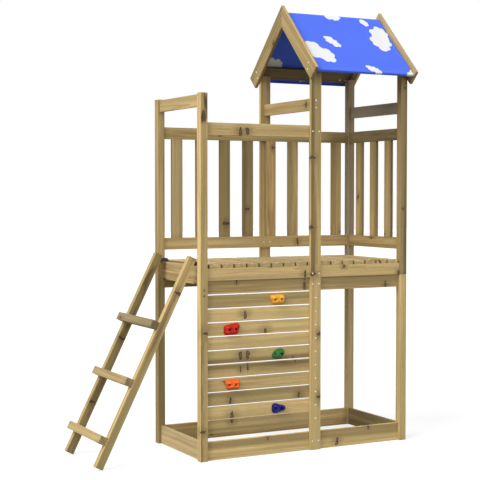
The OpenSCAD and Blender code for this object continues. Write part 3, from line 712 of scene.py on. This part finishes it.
roof = {
    "pitch": math.radians(45),
    "rafterWidth": 0.074,
    "eaveWidth": 0.070,
    "eaveDepth": 0.015,
    "eaveSet": 0.028,  # from the canopy's lower edge
}


def slopeAxes(front):
    # down the slope, into the roof, and along the ridge
    side = -1 if front else 1
    c, s = math.cos(roof["pitch"]), math.sin(roof["pitch"])
    return np.array([[0, side * c, -s], [0, -side * s, -c], [1, 0, 0]])


for node in ("left_front_rafter", "left_back_rafter", "right_front_rafter", "right_back_rafter"):
    low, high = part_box(node)
    front = "front" in node
    reach = -low.y if front else high.y
    length = reach / math.cos(roof["pitch"])
    part = boardParts((0, 0, low.x), (length, roof["rafterWidth"], high.x), slopeAxes(front),
                      (0, 0, high.z), slant=math.tan(roof["pitch"]))
    timberPiece(node, [part])
for node in ("front_eave_board", "back_eave_board"):
    low, high = (np.array(corner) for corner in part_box(node))
    down, inward, across = slopeAxes("front" in node)
    size = np.array([high[0] - low[0], roof["eaveWidth"], roof["eaveDepth"]])
    part = boardParts(-size / 2, size / 2, [across, down, inward], (low + high) / 2)
    timberPiece(node, [part])
print("roof timber: 6")

ladder = {
    "lean": math.radians(26.5),
    "railWidth": 0.038,
    "treadSide": 0.036,
    "treadFirst": 0.099,
    "treadPitch": 0.2737,
    "treads": 3,
}


def ladderAxes():
    # up along the rails, away from the climber, and across
    c, s = math.cos(ladder["lean"]), math.sin(ladder["lean"])
    return np.array([[s, 0, c], [c, 0, -s], [0, 1, 0]])


railLow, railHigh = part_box("ladder_front_rail")
footX = railLow.x + ladder["railWidth"] * math.cos(ladder["lean"])
railLength = (railHigh.z - ladder["railWidth"] * math.sin(ladder["lean"])) / math.cos(ladder["lean"])
for node in ("ladder_front_rail", "ladder_back_rail"):
    low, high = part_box(node)
    part = boardParts((0, -ladder["railWidth"], low.y), (railLength, 0, high.y), ladderAxes(),
                      (footX, 0, 0))
    timberPiece(node, [part], "ladder")
low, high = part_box("ladder_treads")
up, away, across = ladderAxes()
treads = []
for i in range(ladder["treads"]):
    bottom = ladder["treadFirst"] + ladder["treadPitch"] * i
    treads.append(boardParts((low.y, bottom, -ladder["railWidth"] - ladder["treadSide"]),
                             (high.y, bottom + ladder["treadSide"], -ladder["railWidth"]),
                             [across, up, away], (footX, 0, 0)))
timberPiece("ladder_treads", treads, "ladder")
print("ladder timber: 3")

canopyLook = {
    "sky": (0.064, 0.151, 0.85),
    "cloud": (0.80, 0.81, 0.83),
    "cloudFray": 0.004,  # unevenness of the clouds' outlines
    "cloudSoft": 0.0009,
    "often": {"fray": 90.0, "blotch": 7.0, "crumple": 40.0},  # noise in a metre
    "thread": (0.16, 0.27, 0.95),
    "threadHalf": (0.0004, 0.0009),  # half the width of a thread, and where it has faded out
    "stitch": 0.0055,
    "stitchGap": (0.2, 0.32),  # share of a stitch that is under the cloth, and where the thread is full
    "stitchSet": 0.012,  # from the edges
    "stitchShare": 0.8,
    "hem": 0.018,
    "weave": 0.0011,
    "weaveLight": 0.035,
    "blotchLight": 0.08,
    "roughness": 0.72,
    "rougher": {"weave": 0.05, "cloudy": -0.06},
    "relief": {"weave": 0.3, "stitch": 1.2, "crumple": 0.8},
    "bump": (0.0005, 0.25),
    "sockets": {"Sheen Weight": 0.15, "Specular IOR Level": 0.25},
}
canopy = {
    "thickness": 0.0014,
    "ridgeRadius": 0.010,
    "ridgeSoft": 0.62,  # shares of that radius: how much shorter the softened way down is,
    "ridgeSet": 0.30,  # and how far the whole sheet is lowered
    "sag": 0.0035,
    "sagEase": 1.3,
    "ripple": 0.0007,
    "rippleTurns": (61, 9, 23, 1.3),  # radians in a metre across, by slant and down the slope; the start
    "hemRise": 0.0006,
    "hemPowers": (4, 0.25),  # of that rise at the sides and at the lower edges
    "fold": 0.0025,  # radius of the fold at the lower edges
    "turnedUnder": 0.0115,  # length of the fold and of the hem behind it
    "across": 108,
    "along": 184,
    "foldSteps": 10,
    # centre across and down the slope (negative behind the ridge), half length, half width, tilt
    "clouds": [
        (-0.207, 0.297, 0.103, 0.062, 0.75), (-0.090, 0.212, 0.056, 0.028, 0.90),
        (-0.008, 0.012, 0.046, 0.034, 0.15), (0.163, 0.043, 0.030, 0.021, 1.10),
        (0.206, 0.163, 0.110, 0.064, 1.85), (0.052, 0.412, 0.050, 0.024, 0.60),
        (0.258, 0.434, 0.044, 0.026, 2.2), (-0.205, -0.325, 0.064, 0.044, 2.9),
        (-0.02, -0.180, 0.085, 0.048, 0.4), (0.185, -0.300, 0.080, 0.046, 2.4),
        (0.09, -0.075, 0.040, 0.018, 1.0), (0.02, -0.400, 0.05, 0.024, 0.2),
    ],
    "puffs": 9,
    "core": (0.8, 0.72),  # half length and half width of the oval, as shares of the cloud's
    "puffRing": (0.72, 0.62),  # of the oval that the puffs stand on
    "puffSize": (0.26, 0.46),  # least and most radius, as shares of the half width
    "puffTurn": 0.6,  # radians, of all the puffs together and of each alone
    "puffShift": 0.22,
}


def cloudDistance(x, s):
    # signed distance in metres, negative inside: round puffs along an oval's rim, and an oval inside them
    best = np.full(x.shape, 1.0)
    count, shift = canopy["puffs"], canopy["puffShift"]
    for cx, cs, length, width, tilt in canopy["clouds"]:
        c, t = math.cos(tilt), math.sin(tilt)
        a = (x - cx) * c + (s - cs) * t
        b = -(x - cx) * t + (s - cs) * c
        coreLength, coreWidth = length * canopy["core"][0], width * canopy["core"][1]
        best = np.minimum(best, (np.hypot(a / coreLength, b / coreWidth) - 1) * coreWidth)
        ringLength, ringWidth = length * canopy["puffRing"][0], width * canopy["puffRing"][1]
        turn = np.linspace(0, 2 * math.pi, count, endpoint=False) + dice.uniform(0, canopy["puffTurn"])
        turn = turn + dice.uniform(-shift, shift, count)
        for angle, share in zip(turn, dice.uniform(*canopy["puffSize"], count)):
            puff = np.hypot(a - math.cos(angle) * ringLength, b - math.sin(angle) * ringWidth)
            best = np.minimum(best, puff - width * share)
    return best


def canopySheet():
    # A sheet over the ridge: two slopes joined by a small bend, sagging a little between ridge and eaves,
    # and turned under at the lower edges by a quarter circle and a short straight hem
    low, high = (np.array(corner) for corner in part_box("canopy"))
    pitch, radius, fold = roof["pitch"], canopy["ridgeRadius"], canopy["fold"]
    slope = high[1] / math.cos(pitch)  # from the ridge line to the lower edge
    foot = slope - fold
    width = high[0] - low[0]
    x = np.linspace(-width / 2, width / 2, canopy["across"])
    hem = foot + np.linspace(0, canopy["turnedUnder"], canopy["foldSteps"])[1:]
    s = np.concatenate([-hem[::-1], np.linspace(-foot, foot, canopy["along"]), hem])
    x, s = np.meshgrid(x, s, indexing="ij")
    over = np.maximum(np.abs(s) - foot, 0)
    bend = np.minimum(over / fold, math.pi / 2)
    down = np.minimum(np.abs(s), foot) + fold * np.sin(bend)
    under = fold * (1 - np.cos(bend)) + np.maximum(over - fold * math.pi / 2, 0)
    # the ridge is softened: the way down becomes a hyperbola near zero
    soft = np.sqrt(down ** 2 + radius ** 2) - radius * canopy["ridgeSoft"]
    y = -np.sign(s) * down * math.cos(pitch)
    z = high[2] - soft * math.sin(pitch) - radius * canopy["ridgeSet"]
    share = np.clip(down / (slope - roof["eaveWidth"] - roof["eaveSet"]), 0, 1)
    edge = np.clip((width / 2 - np.abs(x)) / canopyLook["hem"], 0, 1)
    hang = canopy["sag"] * np.sin(math.pi * share) ** canopy["sagEase"]
    acrossTurns, slantTurns, downTurns, startTurn = canopy["rippleTurns"]
    wave = canopy["ripple"] * np.sin(x * acrossTurns + s * slantTurns) * np.sin(
        math.pi * share) * np.sin(s * downTurns + startTurn)
    sidePower, lowPower = canopy["hemPowers"]
    rise = canopy["hemRise"] * (1 - edge ** sidePower) + canopy["hemRise"] * np.clip(
        1 - (slope - down) / canopyLook["hem"], 0, 1) ** lowPower
    out = wave + rise - hang - under
    y = y - np.sign(s) * out * math.sin(pitch) * np.minimum(1, down / radius)
    z = z + out * math.cos(pitch)
    x0 = (low[0] + high[0]) / 2
    points = np.stack([x + x0, y, z], -1).reshape(-1, 3)
    quads = gridFaces(*x.shape)[:, ::-1]
    cloth = np.stack([x, s, cloudDistance(x, s)], -1).reshape(-1, 3)
    return points, quads.tolist(), cloth, (width, hem[-1] * 2)


def canopyCloth(look, width, length):
    stitchSet = look["stitchSet"] + canopy["turnedUnder"]  # from the cloth's own lower edges
    cloth = newFinish("canopy_cloth")
    place = cloth.attribute("cloth")
    x, s, cloud = cloth.split(place)
    threads = 2 * math.pi / look["weave"]
    weave = (x * threads).apply("SINE") * (s * threads).apply("SINE")
    fray = (cloth.noise(place, look["often"]["fray"]) - 0.5) * look["cloudFray"]
    cloudy = 1 - cloth.rise(cloud + fray, -look["cloudSoft"], look["cloudSoft"])
    blotch = cloth.noise(place, look["often"]["blotch"], detail=3.0)

    def stitches(fromMiddle, seam, along):  # dashes along the two lines that lie this far from the middle
        thread = 1 - cloth.rise(abs(seam - abs(fromMiddle)), *look["threadHalf"])
        return thread * cloth.rise((along / look["stitch"]).apply("FRACT"), *look["stitchGap"])

    sideStitch = stitches(x, width / 2 - look["stitchSet"], s)
    stitch = sideStitch.apply("MAXIMUM", stitches(s, length / 2 - stitchSet, x))
    colour = cloth.mix(cloudy, look["sky"], look["cloud"])
    colour = cloth.mix(stitch * look["stitchShare"], colour, look["thread"])
    colour = cloth.brighten(colour, blotch.waver(look["blotchLight"]) * (1 + weave * look["weaveLight"]))
    return cloth.surface(colour, look, {
        "weave": weave, "cloudy": cloudy, "stitch": stitch,
        "crumple": cloth.noise(place, look["often"]["crumple"])})


points, faces, clothPlace, flatSize = canopySheet()
mesh = fillMesh("sky_canopy", points, faces, {"cloth": clothPlace})
clothFinish = canopyCloth(canopyLook, *flatSize)
skyCanopy = finishPiece("sky_canopy", mesh, clothFinish, "frame", "canopy_cloth", "canopy")
wall = skyCanopy.modifiers.new("cloth_thickness", "SOLIDIFY")
wall.thickness = canopy["thickness"]
wall.offset = -1
print("canopy sewn: %.3f by %.3f m" % flatSize)

holdShape = {
    "width": 0.078, "height": 0.053, "depth": 0.030,
    "screwSet": 0.016, "wellRadius": 0.0058, "seat": 0.0092,
    "columns": {"left": 0.121, "right": 0.356},  # from the planks' left ends
    "around": 168, "rings": 64, "ringEase": 0.8,  # rings lie closer at the rim
    "blend": 0.035,  # of the lumps' outlines, as a share of the width
    "dome": (3.2, 0.42),  # powers of the dome's profile
    "swell": (0.22, 0.9),  # share of the depth, and reach as a share of the lump's own
    "wellSoft": 0.0013,
    # hollow for the fingers: depth share, half width and half height, and how far up, as shares of the size
    "grip": (0.16, 0.30, 0.20, 0.36),
    "waist": (0.14, 0.15),  # place right of the middle and reach, as shares of the width
}
plasticLook = {
    "often": {"grit": 1300.0, "speck": 420.0, "cloudy": 60.0},  # noise in a metre
    "wornCrest": (0.72, 1.0),  # where the plastic is worn: height as a share of the depth,
    "wornCloud": (0.35, 0.7),  # and noise
    "wornShare": 0.30,
    "faded": (0.85, 0.04),  # share of its colour that worn plastic keeps, and the white added to it
    "speckLight": 0.28,
    "roughness": 0.40,
    "rougher": {"grit": 0.22, "worn": 0.1},
    "relief": {"grit": 0.6, "speck": 0.4},
    "bump": (0.0006, 0.35),
    "sockets": {"Specular IOR Level": 0.25},
}
# size: shares of the width and height, and the share of the width that the middle lies right of the screws
# lumps: centre across and up, then reach across and up, as shares of half the hold's size
holds = {
    "yellow": dict(
        plank=1, column="right", size=(0.96, 0.83, 0.04), colour=(0.90, 0.44, 0.045),
        lumps=[(-0.56, 0.42, 0.44, 0.56), (0.60, 0.48, 0.40, 0.52), (0.40, -0.45, 0.50, 0.55),
               (-0.32, -0.45, 0.46, 0.55)]),
    "red": dict(
        plank=3, column="left", size=(1.00, 1.00, 0.05), colour=(0.52, 0.014, 0.008),
        lumps=[(-0.60, 0.28, 0.40, 0.46), (0.60, 0.54, 0.40, 0.46), (0.36, -0.46, 0.46, 0.52),
               (-0.58, -0.54, 0.42, 0.46)]),
    "green": dict(
        plank=5, column="right", size=(0.78, 0.90, 0.10), colour=(0.022, 0.150, 0.030),
        lumps=[(-0.46, -0.24, 0.54, 0.70), (0.46, 0.32, 0.54, 0.68), (0.16, -0.38, 0.56, 0.62),
               (-0.20, 0.28, 0.46, 0.56)]),
    "orange": dict(
        plank=7, column="left", size=(0.96, 0.82, 0.08), colour=(0.92, 0.150, 0.020),
        lumps=[(-0.60, 0.42, 0.40, 0.52), (0.62, 0.50, 0.38, 0.50), (0.56, -0.50, 0.42, 0.50),
               (-0.32, -0.46, 0.46, 0.54)]),
    "blue": dict(
        plank=9, column="right", size=(0.87, 0.84, 0.13), colour=(0.004, 0.006, 0.170), waist=0.11,
        lumps=[(-0.54, 0.42, 0.46, 0.58), (-0.50, -0.42, 0.50, 0.58), (0.58, -0.06, 0.42, 0.62)]),
}


def mouldedPlastic(name, colour, look):
    plastic = newFinish(name + "_plastic")
    place = plastic.objectPlace()
    grit = plastic.noise(place, look["often"]["grit"], roughness=0.6)
    speck = plastic.noise(place, look["often"]["speck"])
    cloudy = plastic.noise(place, look["often"]["cloudy"])
    crest = plastic.split(plastic.attribute("crest"))[0]
    worn = plastic.rise(crest, *look["wornCrest"]) * plastic.rise(cloudy, *look["wornCloud"])
    kept, white = look["faded"]
    shade = plastic.mix(worn * look["wornShare"], colour, tuple(c * kept + white for c in colour))
    shade = plastic.brighten(shade, speck.waver(look["speckLight"]))
    return plastic.surface(shade, look, {"grit": grit, "speck": speck, "worn": worn})


def holdSurface(hold):
    # A polar grid: the rim is a soft outline round the lumps' ovals, the height a dome with a swell
    # at each lump, and two round wells go down to the screws' seats
    shares, d = hold["size"], holdShape["depth"]
    w, h = holdShape["width"] * shares[0], holdShape["height"] * shares[1]
    off = holdShape["width"] * shares[2]
    turn = np.linspace(0, 2 * math.pi, holdShape["around"], endpoint=False)
    n = np.stack([np.cos(turn), np.sin(turn)], -1)
    lumps = np.array(hold["lumps"])
    centre = lumps[:, :2] * np.array([w, h]) / 2
    reach = lumps[:, 2:] * np.array([w, h]) / 2
    stretch = np.sqrt(((n[:, None] * reach) ** 2).sum(-1))
    support = (n[:, None] * centre).sum(-1) + stretch
    share = np.exp((support - support.max(1, keepdims=True)) / (w * holdShape["blend"]))
    share = share / share.sum(1, keepdims=True)
    rim = (share[..., None] * (centre + n[:, None] * reach ** 2 / stretch[..., None])).sum(1)
    out = np.linspace(0, 1, holdShape["rings"] + 1)[1:] ** holdShape["ringEase"]
    x = out[:, None] * rim[:, 0]
    y = out[:, None] * rim[:, 1]
    bulge, ease = holdShape["dome"]
    dome = (1 - out ** bulge) ** ease
    lift, spread = holdShape["swell"]
    swell = np.exp(-(((x[..., None] - centre[:, 0]) / (reach[:, 0] * spread)) ** 2
                     + ((y[..., None] - centre[:, 1]) / (reach[:, 1] * spread)) ** 2)).max(-1)
    hollow, gripWidth, gripHeight, gripUp = holdShape["grip"]
    grip = np.exp(-((x / (w * gripWidth)) ** 2 + ((y - h * gripUp) / (h * gripHeight)) ** 2))
    rise = d * dome[:, None] * (1 - lift + lift * swell) * (1 - hollow * grip)
    # a waist draws the outline in, right of the middle
    waistPlace, waistReach = holdShape["waist"]
    y = y * (1 - hold.get("waist", 0) * np.exp(-((x - w * waistPlace) / (w * waistReach)) ** 2))
    x = x + off
    well = np.minimum(np.hypot(x - holdShape["screwSet"], y), np.hypot(x + holdShape["screwSet"], y))
    wall = np.clip((well - holdShape["wellRadius"]) / holdShape["wellSoft"], 0, 1)
    wall = wall * wall * (3 - 2 * wall)
    rise = np.where(rise > holdShape["seat"], holdShape["seat"] + (rise - holdShape["seat"]) * wall, rise)
    return x, y, rise, off


def holdPiece(name, hold):
    # the surface stands on its plank, with a fan of triangles at the top and one flat face behind
    low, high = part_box("wall_plank_%d" % hold["plank"])
    across = low.x + holdShape["columns"][hold["column"]]
    x, y, rise, off = holdSurface(hold)
    rings, around = x.shape
    top = np.array([[across + off, low.y - rise[0].mean(), (low.z + high.z) / 2]])
    outer = np.stack([across + x, low.y - rise, (low.z + high.z) / 2 + y], -1)
    points = np.concatenate([top, outer.reshape(-1, 3)])
    quads = 1 + gridFaces(rings, around, True)[:, [0, 3, 2, 1]]
    fan = np.stack([np.zeros(around, int), 1 + np.arange(around), 1 + (np.arange(around) + 1) % around], -1)
    back = (1 + (rings - 1) * around + np.arange(around))[::-1]
    crest = np.concatenate([[rise[0].mean()], rise.ravel()]) / holdShape["depth"]
    mesh = fillMesh(name + "_moulding", points, quads.tolist() + fan.tolist() + [back.tolist()],
                    {"crest": np.repeat(crest[:, None], 3, 1)})
    mesh.polygons[-1].use_smooth = False
    plastic = mouldedPlastic(name, hold["colour"], plasticLook)
    finishPiece(name + "_moulding", mesh, plastic, "frame", name + "_plastic", name + "_hold")


for name, hold in holds.items():
    holdPiece(name, hold)
print("holds moulded:", len(holds))

zincLook = {
    "colour": (0.90, 0.87, 0.78),
    "dark": (0.66, 0.64, 0.58),
    "darkFade": (0.35, 0.75),
    "darkShare": 0.6,
    # painted shade: the holds' screws are darkened deep in their wells
    "wellShade": (0.16, 0.145, 0.12),  # of the holds' screws:
    "holdFrom": (0.001, 0.002),  # they start and end this far behind the middle board's front,
    "holdTo": (0.015, 0.016),
    "holdTop": (0.80, 0.81),  # and lie below this height
    "spangle": 900.0,
    "cloudy": 500.0,
    "roughness": 0.34,
    "rougher": {"spangle": 0.22},
    "relief": {"cloudy": 1.0},
    "bump": (0.0002, 0.3),
    "sockets": {"Metallic": 0.35},
}
dullLook = {
    "colour": (0.42, 0.36, 0.25),
    "dark": (0.30, 0.25, 0.17),
    "cloudy": 500.0,
    "roughness": 0.42,
    "rougher": {"cloudy": 0.2},
    "relief": {"cloudy": 1.0},
    "bump": (0.0002, 0.3),
    "sockets": {"Metallic": 0.3},
}
coatLook = {
    "colour": (0.030, 0.026, 0.022),
    "worn": (0.10, 0.085, 0.07),
    "wornFade": (0.55, 0.8),
    "wornShare": 0.6,
    "cloudy": 120.0,
    "peel": 900.0,
    "roughness": 0.38,
    "rougher": {"cloudy": 0.25},
    "relief": {"peel": 1.0},
    "bump": (0.0003, 0.3),
    "sockets": {},
}


def galvanised(look):
    zinc = newFinish("galvanised_steel")
    place = zinc.objectPlace()
    spangle = zinc.split(zinc.node(
        "TexVoronoi", inputs={"Vector": place, "Scale": look["spangle"]}, output="Color"))[0]
    cloudy = zinc.noise(place, look["cloudy"], detail=3.0)
    dark = zinc.rise(cloudy, *look["darkFade"]) * look["darkShare"]
    colour = zinc.mix(dark, look["colour"], look["dark"])
    # painted shade on the screws that lie deep in the holds' wells
    _, y, z = zinc.split(place)
    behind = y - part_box("front_middle_lower_board")[0].y
    inHold = zinc.rise(behind, *look["holdFrom"]) * (1 - zinc.rise(behind, *look["holdTo"]))
    inHold = inHold * (1 - zinc.rise(z, *look["holdTop"]))
    colour = zinc.mix(inHold, colour, look["wellShade"])
    return zinc.surface(colour, look, {"spangle": spangle, "cloudy": cloudy})


def dullSteel(look):
    dull = newFinish("dull_steel")
    cloudy = dull.noise(dull.objectPlace(), look["cloudy"], detail=3.0)
    return dull.surface(dull.mix(cloudy, look["colour"], look["dark"]), look, {"cloudy": cloudy})


def coatedSteel(look):
    coat = newFinish("coated_steel")
    place = coat.objectPlace()
    cloudy = coat.noise(place, look["cloudy"], detail=3.0)
    peel = coat.noise(place, look["peel"])
    worn = coat.rise(cloudy, *look["wornFade"]) * look["wornShare"]
    return coat.surface(coat.mix(worn, look["colour"], look["worn"]), look, {"cloudy": cloudy, "peel": peel})


metals = {
    "frame_screws": galvanised(zincLook),
    "ladder_screws": dullSteel(dullLook),
    "ladder_hooks": coatedSteel(coatLook),
}
for node, finish in metals.items():
    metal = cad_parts[node]
    metal.data.materials.clear()
    metal.data.materials.append(finish)
print("metal finished")

studio = {
    "floorSide": 60.0,
    "floorColour": (0.22, 0.22, 0.22),  # as the object sees it
    "floorGlare": (1.35, 1.35, 1.35),  # as the camera does, mixed with plain white
    "shadowShare": 0.35,
    "white": (1.0, 1.0, 1.0),
    "skyStrength": 0.28,
    # where each lamp shines from, its strength and the angle that it spreads over
    "lamps": {
        "key_light": ((-0.85, -0.22, 0.70), 2.9, 45.0),
        "front_light": ((0.10, -0.90, 0.40), 1.05, 60.0),
        "back_light": ((0.60, 0.75, 0.35), 0.9, 60.0),
    },
}


def seenDirectly(finish):
    rays = finish.node("LightPath", output="Is Camera Ray")
    either = rays.apply("MAXIMUM", rays.output("Is Glossy Ray"))
    return either.apply("MAXIMUM", rays.output("Is Transmission Ray"))


def layFloor():
    side = studio["floorSide"] / 2
    corners = np.array([(-side, -side, 0), (side, -side, 0), (side, side, 0), (-side, side, 0)], float)
    mesh = bpy.data.meshes.new("studio_floor")
    mesh.from_pydata(corners.tolist(), [], [[0, 1, 2, 3]])
    floor = bpy.data.objects.new("studio_floor", mesh)
    scene.collection.objects.link(floor)
    paper = newFinish("floor_paper")
    plain = paper.node("BsdfDiffuse", inputs={"Color": opaque(studio["floorColour"])})
    bright = paper.node("BsdfDiffuse", inputs={"Color": opaque(studio["floorGlare"])})
    glow = paper.node("Emission", inputs={"Color": opaque(studio["white"]), "Strength": 1.0})
    shown = paper.node("MixShader", inputs={0: studio["shadowShare"], 1: glow, 2: bright})
    paper.close(paper.node("MixShader", inputs={0: seenDirectly(paper), 1: plain, 2: shown}))
    mesh.materials.append(paper.owner)


def lightStudio():
    scene.world = bpy.data.worlds.new("studio_world")
    sky = Finish(scene.world)
    soft = sky.node("Background", inputs={
        "Color": opaque(studio["white"]), "Strength": studio["skyStrength"]})
    white = sky.node("Background", inputs={"Color": opaque(studio["white"]), "Strength": 1.0})
    sky.close(sky.node("MixShader", inputs={0: seenDirectly(sky), 1: soft, 2: white}),
              "OutputWorld")
    for name, (shinesFrom, strength, spread) in studio["lamps"].items():
        data = bpy.data.lights.new(name, "SUN")
        data.energy = strength
        data.angle = math.radians(spread)
        lamp = bpy.data.objects.new(name, data)
        way = np.array(shinesFrom) / np.linalg.norm(shinesFrom)
        lamp.rotation_euler = (math.acos(way[2]), 0, math.atan2(way[0], -way[1]))
        scene.collection.objects.link(lamp)


layFloor()
lightStudio()
scene.view_settings.view_transform = "Standard"
print("studio lit")
